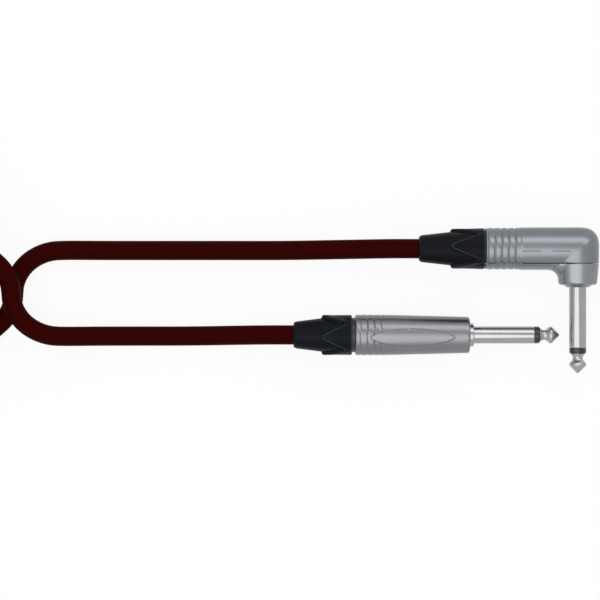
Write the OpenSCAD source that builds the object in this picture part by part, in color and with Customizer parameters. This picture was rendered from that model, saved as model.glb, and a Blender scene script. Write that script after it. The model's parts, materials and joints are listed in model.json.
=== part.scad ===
// Instrument cable: a straight quarter-inch phone plug and a right-angle one on a
// coaxial cord, with the spare cord folded into a tied hank.
// Both plugs lie on their sides with +X from the cord towards the plug.

/* [Layout] */
// Gap between the straight plug's point and the angle plug's finger
plug_gap = 3.6; // [1:0.2:16]
// Distance between the two plugs' axes
plug_rows = 31.9; // [30:0.1:40]

/* [Cord] */
// Diameter of the cord
cord_d = 7.2; // [6.6:0.1:7.3]
// Outside diameter of the braided shield
shield_d = 5.2; // [4.8:0.1:5.6]
// Outside diameter of the core insulation
core_d = 3.8; // [3:0.1:4.2]
// Diameter of the core wire
wire_d = 1.2; // [0.8:0.1:1.6]
// Room between the cord and what it runs through
cord_clearance = 0.1; // [0.05:0.05:0.2]

/* [Finger] */
// Diameter of the plug finger
finger_d = 6.35; // [6.3:0.01:6.36]
// Length of the finger from its seat to its point
finger_len = 31.75; // [31:0.25:33]
// Length of the metal tip in front of the ring
tip_len = 7.25; // [6.8:0.05:7.6]
// Width of the black insulating ring
ring_w = 2.1; // [1.5:0.1:2.4]
// Diameter of the tip's waist
tip_waist_d = 3.9; // [3.4:0.1:4.4]
// Diameter of the angle sleeve's shoulder, in the neck's end wall
shoulder_d = 7; // [6.7:0.1:8]
// Bore of the sleeve
sleeve_bore_d = 4.4; // [4.2:0.1:4.8]
// Diameter of the tip rod
rod_d = 2.5; // [2:0.1:2.8]
// Thickness of the sleeve's rear flange
flange_t = 4; // [3:0.5:5]
// Thickness of the insulating washer behind the flange
rear_insulator_t = 2; // [1.5:0.5:3]
// Thickness of the solder lugs
lug_t = 0.8; // [0.5:0.1:1]
// Width of the solder lugs
lug_w = 3; // [2.5:0.5:3]
// Diameter of the tip lug's washer
tip_lug_d = 5.6; // [5.2:0.1:6]
// Diameter of the sleeve lug's washer
sleeve_lug_d = 9.4; // [9:0.1:9.8]
// Diameter of the solder on each lug
solder_d = 2; // [1.6:0.1:2.2]

/* [Boots] */
// Diameter of each boot where the cord enters
boot_rear_d = 9.9; // [9:0.1:10.4]
// Diameter of each boot at the end of its cone
boot_cone_d = 12.4; // [12:0.1:13]
// Diameter over the raised grip pads
pad_d = 14.8; // [14:0.1:15]
// Length of the straight plug's boot
straight_boot_len = 21.6; // [20:0.2:24]
// Length of the angle plug's boot
angle_boot_len = 24.1; // [23:0.1:26]
// Length of the cone on the straight boot
straight_cone_len = 10.4; // [9:0.2:12]
// Length of the cone on the angle boot
angle_cone_len = 11.6; // [10:0.2:13]
// Length of the full collar at the front of each boot
boot_collar_len = 3; // [2:0.5:4]

/* [Gland and chuck] */
// Diameter of the gland's thread
gland_thread_d = 11; // [10.6:0.1:11.2]
// Length of the gland's thread
gland_thread_len = 4; // [3:0.5:5]
// Diameter of the gland's tail, held in the boot
gland_tail_d = 9.4; // [9:0.1:10]
// Length of the gland's tail
gland_tail_len = 8; // [6:0.5:9]
// Diameter of the gland's flange in the straight plug's neck
neck_d = 12.8; // [12:0.1:13.4]
// Width of the neck between the straight boot and its shell
straight_neck = 1.2; // [0.8:0.1:2]
// Width of the joint between the angle boot and its housing
angle_neck = 0.3; // [0.3:0.1:0.8]
// Length of the chuck behind its cone
chuck_len = 8; // [6:0.5:9]
// Diameter of the chuck
chuck_d = 10.6; // [10:0.1:10.8]
// Width of the slots between the chuck's jaws
chuck_slot = 0.8; // [0.5:0.1:1.2]

/* [Straight shell] */
// Diameter of the shell at the rear
shell_rear_d = 15; // [14.8:0.1:16]
// Diameter of the shell at the front
shell_front_d = 13.4; // [13.2:0.1:14.4]
// Length of the shell
shell_len = 42.3; // [40:0.5:48]
// Inside diameter of both shells
shell_bore_d = 12.2; // [11.8:0.1:12.4]
// Length of the shell's wide, ringed rear
shell_rear_len = 11; // [10:0.5:14]
// Thickness of the shell's front wall
shell_front_t = 3; // [2:0.5:4]
// Diameter of the collar in front of the shell
collar_d = 8.7; // [8:0.1:9.4]
// Length of the collar in front of the shell
collar_len = 1.5; // [1:0.1:2.5]
// Length of the plain oval panel on the shell
oval_len = 31; // [26:1:33]
// Width of the plain oval panel on the shell
oval_w = 6.3; // [5:0.1:8]
// Height of the plain oval panel over the shell
oval_h = 0.25; // [0.15:0.05:0.4]

/* [Angle housing] */
// Diameter of the housing's barrel
barrel_d = 15.7; // [15.2:0.1:16.4]
// Diameter of the housing's ringed rear
barrel_rear_d = 15.4; // [15:0.1:16]
// Length of the housing's ringed rear
barrel_rear_len = 13; // [12.5:0.5:15]
// Distance from the boot's rear to the finger's axis
angle_reach = 58.7; // [58:0.1:62]
// Diameter of the neck at its end
neck_end_d = 14.1; // [13.6:0.1:15]
// Distance from the barrel's axis to the end of the neck
neck_reach = 14.3; // [14:0.1:17]
// Distance from the barrel's axis to the parting line
parting = 5.5; // [5:0.1:5.8]
// Thickness of the wall at the neck's end
neck_wall = 1.6; // [1.2:0.1:2]
// Radius of the gusset between the barrel and the neck
gusset_r = 4; // [3:0.5:5]
// Thickness of the gusset
gusset_t = 7; // [5:0.5:9]

/* [Grip rings] */
// Distance between the shallow grip rings on both shells
grip_pitch = 2.55; // [2.4:0.05:3]
// Depth of the grip rings
grip_depth = 0.25; // [0.15:0.05:0.4]
// Width of the grip rings
grip_w = 0.7; // [0.4:0.1:1]

/* [Hank] */
// Radius of the outermost loop's ends
hank_r = 30.5; // [30.5:0.5:34]
// Straight length of the folded loops
hank_run = 98.5; // [80:0.5:120]
// Distance between neighbouring loops in a layer
loop_pitch = 8.1; // [8.1:0.1:8.4]
// Distance between layers
layer_pitch = 7.7; // [7.7:0.1:8.5]
// How far the loops are drawn in at the tie
waist = 2; // [1:0.5:3]
// Width of the tie
tie_w = 16; // [12:1:20]
// Thickness of the tie
tie_t = 1.5; // [1:0.1:2]
// Room between the tie and the loops
tie_clearance = 0.3; // [0.2:0.1:0.6]

/* [Hidden] */
$fn = 64;
eps = 0.01;
sleeve_len = finger_len - ring_w - tip_len;
fit = 0.05;                         // radial room of pressed and nested pieces
thread_fit = 0.08;                  // radial room of the gland's thread
face_gap = 0.1;                     // room between faces that are screwed together

// Along the cord's axis, from the boot's rear
straight_shell_at = straight_boot_len + straight_neck;
angle_shell_at = angle_boot_len + angle_neck;
seat_at = straight_shell_at + shell_len + collar_len;
cone_depth = 3;                     // depth of the gland's conical seat
stripped_at = chuck_len + gland_thread_len + 2;   // end of the jacket, from the shell's rear
liner_gap = 0.5;                    // between the liner and what is at its ends
liner_wall = 0.6;
braid_end = stripped_at + 2;        // ends of the braid and the core, from the shell's rear
core_end = stripped_at + 5;

// Where the plugs lie. The box over both is centred on the origin.
straight_r = max(shell_rear_d, pad_d) / 2;
barrel_r = barrel_d / 2;
angle_r = barrel_r + 0.05;          // the corner, a hair wider than the barrel that it turns
angle_y = (neck_reach + finger_len - angle_r) / 2;
straight_y = angle_y - plug_rows;
plug_span = seat_at + finger_len + plug_gap + finger_d / 2 + angle_r;
straight_x = -plug_span / 2;
finger_x = plug_span / 2 - angle_r;
angle_x = finger_x - angle_reach;

// Along the finger's axis, from its seat
straight_flange_at = -collar_len - shell_front_t - flange_t - face_gap;
angle_flange_at = -neck_wall - flange_t - face_gap;
angle_flange_d = neck_end_d - 3.1;
straight_flange_d = shell_bore_d - 2 * fit;

// Solder joints: the tabs lie on both sides of the cord's axis.
solder_len = 2.6;
lug_reach = 5.5;                    // from the tip lug's washer back to the solder's rear
sleeve_tab_len = rear_insulator_t + 7;
tip_tab_len = 7;
tip_solder_out = tip_lug_d / 2 - lug_t - solder_d / 2;
sleeve_solder_out = sleeve_lug_d / 2 - lug_t - solder_d / 2;
straight_solder_at = seat_at + straight_flange_at - rear_insulator_t - fit - lug_t - lug_reach;
angle_solder_at = angle_reach - solder_len / 2;

// ---- Places ----

module at_straight() { translate([straight_x, straight_y, straight_r]) rotate([0, 90, 0]) children(); }
module at_angle() { translate([angle_x, angle_y, angle_r]) rotate([0, 90, 0]) children(); }
module at_straight_finger() { at_straight() translate([0, 0, seat_at]) children(); }
module at_angle_finger() {
    translate([finger_x, angle_y - neck_reach, angle_r]) rotate([90, 0, 0]) rotate([0, 0, -90]) children();
}

module tube(outer_d, inner_d, from, to) {
    translate([0, 0, from]) difference() {
        cylinder(d = outer_d, h = to - from);
        translate([0, 0, -eps]) cylinder(d = inner_d, h = to - from + 2 * eps);
    }
}

// ---- Cord ----

// Joins rings of points into one closed tube of triangles.
module skin_tube(rings, sides) {
    count = len(rings);
    points = [for (ring = rings) each ring];
    walls = [for (i = [0 : count - 2], k = [0 : sides - 1])
        let (a = i * sides + k, b = i * sides + (k + 1) % sides)
        each [[a, b, b + sides], [a, b + sides, a + sides]]];
    first = [for (k = [1 : sides - 2]) [0, k + 1, k]];
    last = [for (k = [1 : sides - 2]) (count - 1) * sides * [1, 1, 1] + [0, k, k + 1]];
    polyhedron(points = points, faces = [for (f = concat(walls, first, last)) [f[0], f[2], f[1]]]);
}

function unit(v) = v / norm(v);
function heading(path, i, first, last) =
    i == 0 ? first : i == len(path) - 1 ? last
    : unit(unit(path[i + 1] - path[i]) + unit(path[i] - path[i - 1]));
function ring_at(p, along, sides) =
    let (side = unit(cross(along, [0, 0, 1])), up = cross(side, along))
    [for (k = [0 : sides - 1]) let (a = 90 + 360 * k / sides) p + cord_d / 2 * (cos(a) * side + sin(a) * up)];

module cord_tube(path, sides, first, last) {
    skin_tube([for (i = [0 : len(path) - 1]) ring_at(path[i], heading(path, i, first, last), sides)], sides);
}

// The hank: loops round a long flat oval, spiralling in and out again, layer on layer.
rings_per_loop = 24;
loops_per_layer = 2;
layers = 4;
loops_total = loops_per_layer * layers;
hank_x = -202;                      // centre of the hank's near end
hank_y = 2.6;
arc_rings = 8;
run_rings = rings_per_loop / 2 - arc_rings;
last_step = rings_per_loop * loops_total - arc_rings;

// Steps of one loop: the near side run, the far arc, the other run, the near arc.
function on_run(j) = j > eps && j < run_rings - eps
    || j > run_rings + arc_rings + eps && j < rings_per_loop - arc_rings - eps;
function loop_r(i) =
    let (t = i / rings_per_loop, cycle = t - 2 * loops_per_layer * floor(t / (2 * loops_per_layer)))
    hank_r - loop_pitch * (cycle <= loops_per_layer ? cycle : 2 * loops_per_layer - cycle);
function loop_layer(i) =
    let (turn = rings_per_loop * loops_per_layer, k = round(i / turn),
         climb = min(1, max(0, (i - k * turn) / run_rings)))
    i < turn / 2 ? 0 : i > turn * (layers - 0.5) ? layers - 1 : k - 1 + climb;
function loop_point(i) =
    let (j = i - rings_per_loop * floor(i / rings_per_loop),
         lift = on_run(j) ? tie_t + tie_clearance : 0,
         r = loop_r(i) - (on_run(j) ? waist : 0),
         z = cord_d / 2 + layer_pitch * loop_layer(i) + lift,
         far = hank_x - hank_run)
    j <= run_rings ? [hank_x - hank_run * j / run_rings, hank_y - r, z]
    : j <= run_rings + arc_rings
        ? let (a = 270 - 180 * (j - run_rings) / arc_rings) [far + r * cos(a), hank_y + r * sin(a), z]
    : j <= rings_per_loop - arc_rings
        ? [far + hank_run * (j - run_rings - arc_rings) / run_rings, hank_y + r, z]
    : let (a = 90 - 180 * (j - rings_per_loop + arc_rings) / arc_rings)
        [hank_x + r * cos(a), hank_y + r * sin(a), z];

hank_path = [for (i = [0 : last_step]) loop_point(i)];
hank_end = hank_path[last_step];

far_apart = 5;                      // points nearer along the cord than this are neighbours
least_gap = min([for (i = [0 : len(hank_path) - 1 - far_apart], j = [i + far_apart : len(hank_path) - 1])
    norm(hank_path[i] - hank_path[j])]) - cord_d;
function path_len(path, i = 1) = i >= len(path) ? 0 : norm(path[i] - path[i - 1]) + path_len(path, i + 1);

// The two runs come together in a round bend, cross at its end and go out to the hank's two
// sides. The plan of one: [along X, out from the hank's middle line on the hank's own side].
bend_x = -142.9;                    // where the round bend starts
bend_len = 17.6;
bend_w = 15.9;                      // half the distance between the runs
away_r = 15;                        // turn from the bend's end out to the hank
away_by = 50;
function lead_plan(end_y) =
    let (turn_x = bend_x - bend_len - away_r, s = cos(away_by), c = sin(away_by),
         x = turn_x + away_r * cos(away_by), y = away_r * sin(away_by),
         join_r = ((x - hank_x) * s - (end_y - y) * c) / (1 - c),
         straight = (end_y - y - join_r * (1 - c)) / s)
    concat([for (a = [0 : 10 : 90]) [bend_x - bend_len * sin(a), -bend_w * cos(a)]],
        [for (a = [10 : 10 : away_by]) [turn_x + away_r * cos(a), away_r * sin(a)]],
        [for (part = [0.5, 1]) [x - part * straight * c, y + part * straight * s]],
        [for (k = [1 : 4]) let (a = (90 - away_by) * (1 - k / 4))
            [x - straight * c - join_r * (s - sin(a)), y + straight * s + join_r * (cos(a) - c)]]);
angle_lead = lead_plan(hank_r);
straight_lead = lead_plan(hank_end[1] - hank_y);
// Heights of the upper lead, as it comes down over the hank's end and the lower lead
lead_z = [26.7, 26.5, 25.4, 23.3, 20.2, 18.2, 16.2, 15, 13.8, 12.9, 12.1, 11.4, 11.2, 11.1, 11,
    10.8, 10.4, 9.9, 9.4, 8.9, 8.4];

// The free runs: each leaves its boot straight and comes down to the floor.
angle_route = concat([[angle_x, angle_y, angle_r], [angle_x - 10, angle_y, angle_r]],
    [[-38, 18.8, 6.6], [-60, 18.5, 4.4], [-80, 18.5, 3.6], [-102, 18.5, 3.6], [-124, 18.5, 3.6]],
    [for (p = angle_lead) [p[0], hank_y - p[1], cord_d / 2]]);
straight_route = concat(
    [for (i = [0 : len(lead_z) - 1]) let (p = straight_lead[len(lead_z) - 1 - i])
        [p[0], hank_y + p[1], lead_z[i]]],
    [[-128, -13.3, 5.9], [-113, -13.3, 4.2], [-100, -13.3, 3.7], [-89, -13.2, 3.9], [-78, -13, 5.1]],
    [[straight_x - 10, straight_y, straight_r], [straight_x, straight_y, straight_r]]);
free_sides = 10;

echo(least_gap_mm = least_gap);
echo(cord_length_mm = path_len(angle_route) + path_len(hank_path) + path_len(straight_route));

module cord_run_angle() { color(maroon) cord_tube(angle_route, free_sides, [-1, 0, 0], [-1, 0, 0]); }
module cord_run_straight() { color(maroon) cord_tube(straight_route, free_sides, [1, 0, 0], [1, 0, 0]); }
module cord_hank() { color(maroon) cord_tube(hank_path, 6, [-1, 0, 0], [1, 0, 0]); }

// A flat strap round both runs of the hank.
module hank_tie() {
    half_y = hank_r - waist + cord_d / 2 + tie_clearance;
    inner_h = layer_pitch * (layers - 1) + cord_d + 2 * tie_clearance;
    corner = cord_d / 2 + tie_clearance;
    color([0.1, 0.1, 0.11]) translate([hank_x - hank_run / 2, hank_y, tie_t])
        rotate([90, 0, 90]) translate([0, 0, -tie_w / 2]) linear_extrude(tie_w) difference() {
            offset(r = corner + tie_t) translate([corner - half_y, corner])
                square([2 * (half_y - corner), inner_h - 2 * corner]);
            offset(r = corner) translate([corner - half_y, corner])
                square([2 * (half_y - corner), inner_h - 2 * corner]);
        }
}

// ---- Boots, glands and chucks ----

cord_bore_d = cord_d + 4 * cord_clearance;

// One grip pad: a wedge with a round nose that points to the cord.
module pad_wedge(from, to) {
    nose_r = 1.2;
    half_w = 5;
    rotate([0, 90, 0]) linear_extrude(pad_d / 2) hull() {
        translate([-from - nose_r, 0]) circle(nose_r, $fn = 32);
        translate([-to, -half_w]) square([eps, 2 * half_w]);
    }
}

module boot(length, cone_len) {
    chamfer = 1;
    collar_at = length - boot_collar_len;
    difference() {
        union() {
            cylinder(d1 = boot_rear_d - chamfer, d2 = boot_rear_d, h = chamfer);
            translate([0, 0, chamfer]) cylinder(d1 = boot_rear_d, d2 = boot_cone_d, h = cone_len - chamfer);
            translate([0, 0, cone_len]) cylinder(d = boot_cone_d, h = length - cone_len);
            translate([0, 0, collar_at]) cylinder(d = pad_d, h = boot_collar_len);
            intersection() {
                for (turn = [0 : 90 : 270]) rotate(turn) pad_wedge(cone_len, collar_at + eps);
                translate([0, 0, cone_len]) cylinder(d = pad_d, h = length - cone_len);
            }
        }
        translate([0, 0, -eps]) cylinder(d = cord_bore_d, h = length + 2 * eps);
        translate([0, 0, length - gland_tail_len - face_gap])
            cylinder(d = gland_tail_d + 2 * fit, h = length);
    }
}

// The gland's flange fills the neck, and its thread goes into the shell.
module gland(boot_len, neck, flange_d) {
    shell_at = boot_len + neck;
    nose_at = shell_at + gland_thread_len;
    seat_d = gland_thread_d - 1.6;
    difference() {
        union() {
            translate([0, 0, boot_len - gland_tail_len]) cylinder(d = gland_tail_d, h = gland_tail_len);
            translate([0, 0, boot_len]) cylinder(d = flange_d, h = neck - face_gap);
            translate([0, 0, boot_len]) cylinder(d = gland_thread_d, h = nose_at - boot_len);
        }
        translate([0, 0, -eps]) cylinder(d = cord_bore_d, h = nose_at + 1);
        translate([0, 0, nose_at - cone_depth]) cylinder(d1 = cord_bore_d, d2 = seat_d, h = cone_depth + eps);
    }
}

// A split ring whose cone the gland presses onto the cord.
module chuck(shell_at) {
    nose_at = shell_at + gland_thread_len;
    seat_d = gland_thread_d - 1.6;
    body_at = nose_at + face_gap;
    difference() {
        union() {
            translate([0, 0, body_at - cone_depth + 2 * face_gap])
                cylinder(d1 = cord_bore_d, d2 = seat_d - 2 * face_gap, h = cone_depth - 2 * face_gap);
            translate([0, 0, body_at]) cylinder(d = chuck_d, h = chuck_len);
        }
        translate([0, 0, shell_at]) cylinder(d = cord_d + cord_clearance, h = stripped_at + 1);
        for (turn = [0, 90]) rotate(turn)
            translate([-chuck_d, -chuck_slot / 2, shell_at])
                cube([2 * chuck_d, chuck_slot, gland_thread_len + chuck_len - 2]);
    }
}

// ---- Cord ends inside the plugs ----

module jacket_end(shell_at) { tube(cord_d, shield_d + 2 * fit, 0, shell_at + stripped_at); }

// The braid, and its strands gathered into a tail that reaches the sleeve's lug.
module shield(shell_at, tail_to) {
    tail_d = (shield_d - core_d) / 2 - 2 * fit;
    tube(shield_d, core_d + 2 * fit, 0, shell_at + braid_end);
    translate([-(shield_d + core_d + 2 * fit) / 4, 0, shell_at + braid_end - eps])
        cylinder(d = tail_d, h = tail_to - shell_at - braid_end + eps);
}

module core(shell_at) { tube(core_d, wire_d + 2 * fit, 0, shell_at + core_end); }
module wire(to) { cylinder(d = wire_d, h = to); }

// ---- Finger ----

module sleeve(flange_d, flange_at, neck_d, neck_at) {
    difference() {
        union() {
            translate([0, 0, flange_at]) cylinder(d = flange_d, h = flange_t);
            translate([0, 0, flange_at]) cylinder(d = neck_d, h = neck_at - flange_at);
            translate([0, 0, flange_at]) cylinder(d = finger_d, h = sleeve_len - flange_at);
        }
        translate([0, 0, flange_at - eps]) cylinder(d = sleeve_bore_d, h = sleeve_len - flange_at + 2 * eps);
    }
}

module insulator_tube(flange_at) {
    tube(sleeve_bore_d - 2 * fit, rod_d + 2 * fit, flange_at - rear_insulator_t, sleeve_len);
}

module insulator_ring() { tube(finger_d - 0.1, rod_d + 2 * fit, sleeve_len, sleeve_len + ring_w); }

// The tip's outline: a waist, a ball and a rounded point, on a rod to the tip's lug.
module tip(flange_at) {
    from = sleeve_len + ring_w;
    ball_r = finger_d / 2;
    ball_at = finger_len - 3.3;
    waist_at = from + 1.6;
    point_r = 0.7;
    rod_from = flange_at - rear_insulator_t - fit - lug_t - 0.4;
    translate([0, 0, rod_from]) cylinder(d = rod_d, h = from - rod_from + eps);
    rotate_extrude() polygon(concat(
        [[0, from], [ball_r - 0.3, from], [ball_r - 0.3, from + 0.4], [tip_waist_d / 2, waist_at],
         [tip_waist_d / 2 + 0.5, waist_at + 0.8]],
        [for (a = [-35 : 10 : 35]) [ball_r - 1 + cos(a), ball_at + sin(a)]],
        [for (a = [40 : 10 : 90]) [point_r * cos(a), finger_len - point_r + point_r * sin(a)]]));
}

module rear_insulator(flange_at) {
    insulator_d = sleeve_lug_d - 2 * lug_t - 0.4;
    tube(insulator_d, sleeve_bore_d, flange_at - rear_insulator_t, flange_at - lug_t - fit);
}

// A washer with a tab that reaches back to the cord.
module lug(inner_d, outer_d, at, side, tab_len) {
    tube(outer_d, inner_d, at, at + lug_t);
    translate([side > 0 ? outer_d / 2 - lug_t : -outer_d / 2, -lug_w / 2, at - tab_len])
        cube([lug_t, lug_w, tab_len + lug_t / 2]);
}
module sleeve_lug(flange_at) { lug(sleeve_bore_d, sleeve_lug_d, flange_at - lug_t, -1, sleeve_tab_len); }
module tip_lug(flange_at) {
    lug(rod_d + 2 * fit, tip_lug_d, flange_at - rear_insulator_t - fit - lug_t, 1, tip_tab_len);
}

module solder(out, at) {
    part = solder_len / 3;
    translate([out, 0, at]) {
        cylinder(d1 = solder_d * 0.7, d2 = solder_d, h = part);
        translate([0, 0, part]) cylinder(d = solder_d, h = part);
        translate([0, 0, 2 * part]) cylinder(d1 = solder_d, d2 = solder_d * 0.7, h = part);
    }
}

// ---- Shells ----

module grip_rings(d, first, count) {
    for (k = [0 : count - 1]) translate([0, 0, first + grip_pitch * k])
        tube(d + 1, d - 2 * grip_depth, -grip_w / 2, grip_w / 2);
}

module straight_shell_outline(over) {
    edge = 1.2;
    rotate_extrude() polygon(concat(
        [[0, -over], [shell_rear_d / 2 - 0.3 + over, -over], [shell_rear_d / 2 + over, 0.3],
         [shell_rear_d / 2 - 0.05 + over, shell_rear_len]],
        [for (a = [0 : 15 : 90])
            [shell_front_d / 2 + over - edge * (1 - cos(a)), shell_len - edge * (1 - sin(a))]],
        [[0, shell_len]]));
}

module straight_shell() {
    color([0.5, 0.5, 0.49]) at_straight() translate([0, 0, straight_shell_at]) difference() {
        union() {
            difference() {
                straight_shell_outline(0);
                grip_rings(shell_rear_d, 1.8, 4);
            }
            intersection() {
                straight_shell_outline(oval_h);
                translate([0, 0, shell_rear_len + (shell_len - shell_rear_len) / 2 - 5.6]) rotate([0, -90, 0])
                    linear_extrude(shell_rear_d) hull() for (end = [-1, 1])
                        translate([end * (oval_len - oval_w) / 2, 0]) circle(d = oval_w, $fn = 32);
            }
        }
        translate([0, 0, -1]) cylinder(d = gland_thread_d + 2 * thread_fit, h = gland_thread_len + 2);
        translate([0, 0, gland_thread_len + 0.5])
            cylinder(d = shell_bore_d, h = shell_len - shell_front_t - gland_thread_len - 0.5);
        translate([0, 0, -1]) cylinder(d = collar_d + 2 * fit, h = shell_len + 2);
    }
}

// The angle housing's whole outer form, before it is parted: a barrel that turns
// into a neck round the finger's axis.
module angle_outer() {
    shell_x = angle_shell_at;
    corner_r = angle_r - 1.1;
    foot_r = 1.2;                   // rounding of the neck's end
    difference() {
        union() {
            translate([0, 0, shell_x]) cylinder(d = barrel_rear_d, h = barrel_rear_len + eps);
            translate([0, 0, shell_x + barrel_rear_len])
                cylinder(r = barrel_r, h = angle_reach - shell_x - barrel_rear_len);
            translate([0, 0, angle_reach]) rotate([90, 0, 0]) rotate_extrude() polygon(concat(
                [[0, -angle_r]],
                [for (a = [-90 : 15 : 0]) (angle_r - corner_r) * [1, -1] + corner_r * [cos(a), sin(a)]],
                [[angle_r, 0], [angle_r - 0.1, parting]],
                [for (a = [0 : 15 : 75])
                    [neck_end_d / 2 - foot_r * (1 - cos(a)), neck_reach - foot_r * (1 - sin(a))]],
                [[0, neck_reach]]));
        }
        translate([0, 0, shell_x]) grip_rings(barrel_rear_d, 0.7, 5);
    }
}

// The finger's side of the parting line, in the barrel's own frame.
module base_side() {
    translate([-angle_r - 1, -neck_reach - 1, 0])
        cube([2 * angle_r + 2, neck_reach + 1 - parting, angle_reach + angle_r + 2]);
}

module angle_hollow() {
    shell_x = angle_shell_at;
    far_room = 3.5;                 // how far the barrel's bore passes the finger's axis
    top_room = 2.5;                 // how far the neck's bore passes the barrel's axis
    translate([0, 0, shell_x - 1]) cylinder(d = gland_thread_d + 2 * thread_fit, h = gland_thread_len + 2);
    translate([0, 0, shell_x + gland_thread_len + 0.5])
        cylinder(d = shell_bore_d, h = angle_reach + far_room - shell_x - gland_thread_len - 0.5);
    translate([0, top_room, angle_reach]) rotate([90, 0, 0])
        cylinder(d = angle_flange_d + 2 * fit, h = neck_reach - neck_wall + top_room);
    translate([0, 0, angle_reach]) rotate([90, 0, 0]) cylinder(d = shoulder_d + 2 * fit, h = neck_reach + 1);
}

module angle_housing() {
    color([0.5, 0.5, 0.49]) at_angle() difference() {
        angle_outer();
        translate([0, face_gap / 2, 0]) base_side();
        angle_hollow();
    }
}

module angle_base() {
    color([0.47, 0.47, 0.46]) at_angle() difference() {
        union() {
            intersection() { angle_outer(); base_side(); }
            translate([0, 0, angle_reach - angle_r - gusset_r + 0.8]) rotate([0, -90, 0])
                translate([0, 0, -gusset_t / 2]) linear_extrude(gusset_t) difference() {
                    translate([0, -angle_r - gusset_r + 0.8]) square([gusset_r + 1, gusset_r + 1]);
                    translate([0, -angle_r - gusset_r + 0.8]) circle(gusset_r);
                }
        }
        angle_hollow();
    }
}

module liner(from, to) { tube(shell_bore_d - 2 * fit, shell_bore_d - 2 * liner_wall, from, to); }

// ---- Both plugs ----

black = [0.12, 0.13, 0.15];
maroon = [0.22, 0.02, 0.02];
copper = [0.75, 0.45, 0.28];
nickel = [0.75, 0.75, 0.72];
white = [0.9, 0.9, 0.88];
tin = [0.66, 0.66, 0.68];

module straight_boot() { color(black) at_straight() boot(straight_boot_len, straight_cone_len); }
module angle_boot() { color(black) at_angle() boot(angle_boot_len, angle_cone_len); }
module straight_gland() { color(black) at_straight() gland(straight_boot_len, straight_neck, neck_d); }
module angle_gland() { color(black) at_angle() gland(angle_boot_len, angle_neck, neck_d); }
module straight_chuck() { color(white) at_straight() chuck(straight_shell_at); }
module angle_chuck() { color(white) at_angle() chuck(angle_shell_at); }

module straight_jacket_end() { color(maroon) at_straight() jacket_end(straight_shell_at); }
module angle_jacket_end() { color(maroon) at_angle() jacket_end(angle_shell_at); }
module straight_shield() { color(copper) at_straight() shield(straight_shell_at, straight_solder_at); }
module angle_shield() { color(copper) at_angle() shield(angle_shell_at, angle_solder_at); }
module straight_core() { color(white) at_straight() core(straight_shell_at); }
module angle_core() { color(white) at_angle() core(angle_shell_at); }
module straight_wire() { color(copper) at_straight() wire(straight_solder_at); }
module angle_wire() { color(copper) at_angle() wire(angle_solder_at); }

module straight_liner() {
    color(black) at_straight()
        liner(straight_shell_at + stripped_at + liner_gap, seat_at + straight_flange_at - liner_gap);
}
module angle_liner() {
    color(black) at_angle()
        liner(angle_shell_at + stripped_at + liner_gap, angle_reach - shell_bore_d / 2);
}

module straight_sleeve() {
    color(nickel) at_straight_finger() sleeve(straight_flange_d, straight_flange_at, collar_d, 0);
}
module angle_sleeve() {
    color(nickel) at_angle_finger() sleeve(angle_flange_d, angle_flange_at, shoulder_d, 0);
}
module straight_ring() { color("black") at_straight_finger() insulator_ring(); }
module angle_ring() { color("black") at_angle_finger() insulator_ring(); }
module straight_tip() { color(nickel) at_straight_finger() tip(straight_flange_at); }
module angle_tip() { color(nickel) at_angle_finger() tip(angle_flange_at); }
module straight_tube() { color(white) at_straight_finger() insulator_tube(straight_flange_at); }
module angle_tube() { color(white) at_angle_finger() insulator_tube(angle_flange_at); }
module straight_rear_insulator() { color(white) at_straight_finger() rear_insulator(straight_flange_at); }
module angle_rear_insulator() { color(white) at_angle_finger() rear_insulator(angle_flange_at); }
module straight_sleeve_lug() { color(tin) at_straight_finger() sleeve_lug(straight_flange_at); }
module angle_sleeve_lug() { color(tin) at_angle_finger() sleeve_lug(angle_flange_at); }
module straight_tip_lug() { color(tin) at_straight_finger() tip_lug(straight_flange_at); }
module angle_tip_lug() { color(tin) at_angle_finger() tip_lug(angle_flange_at); }
module straight_sleeve_solder() { color(tin) at_straight() solder(-sleeve_solder_out, straight_solder_at); }
module angle_sleeve_solder() { color(tin) at_angle() solder(-sleeve_solder_out, angle_solder_at); }
module straight_tip_solder() { color(tin) at_straight() solder(tip_solder_out, straight_solder_at); }
module angle_tip_solder() { color(tin) at_angle() solder(tip_solder_out, angle_solder_at); }

cord_run_straight();
cord_run_angle();
cord_hank();
hank_tie();
straight_shell();
angle_housing();
angle_base();
straight_boot();
angle_boot();
straight_gland();
angle_gland();
straight_chuck();
angle_chuck();
straight_jacket_end();
angle_jacket_end();
straight_shield();
angle_shield();
straight_core();
angle_core();
straight_wire();
angle_wire();
straight_liner();
angle_liner();
straight_sleeve();
angle_sleeve();
straight_ring();
angle_ring();
straight_tip();
angle_tip();
straight_tube();
angle_tube();
straight_rear_insulator();
angle_rear_insulator();
straight_sleeve_lug();
angle_sleeve_lug();
straight_tip_lug();
angle_tip_lug();
straight_sleeve_solder();
angle_sleeve_solder();
straight_tip_solder();
angle_tip_solder();
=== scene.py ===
"""Instrument cable: finish, cord and detailed plugs over the CAD frame."""
import json
import math

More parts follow.
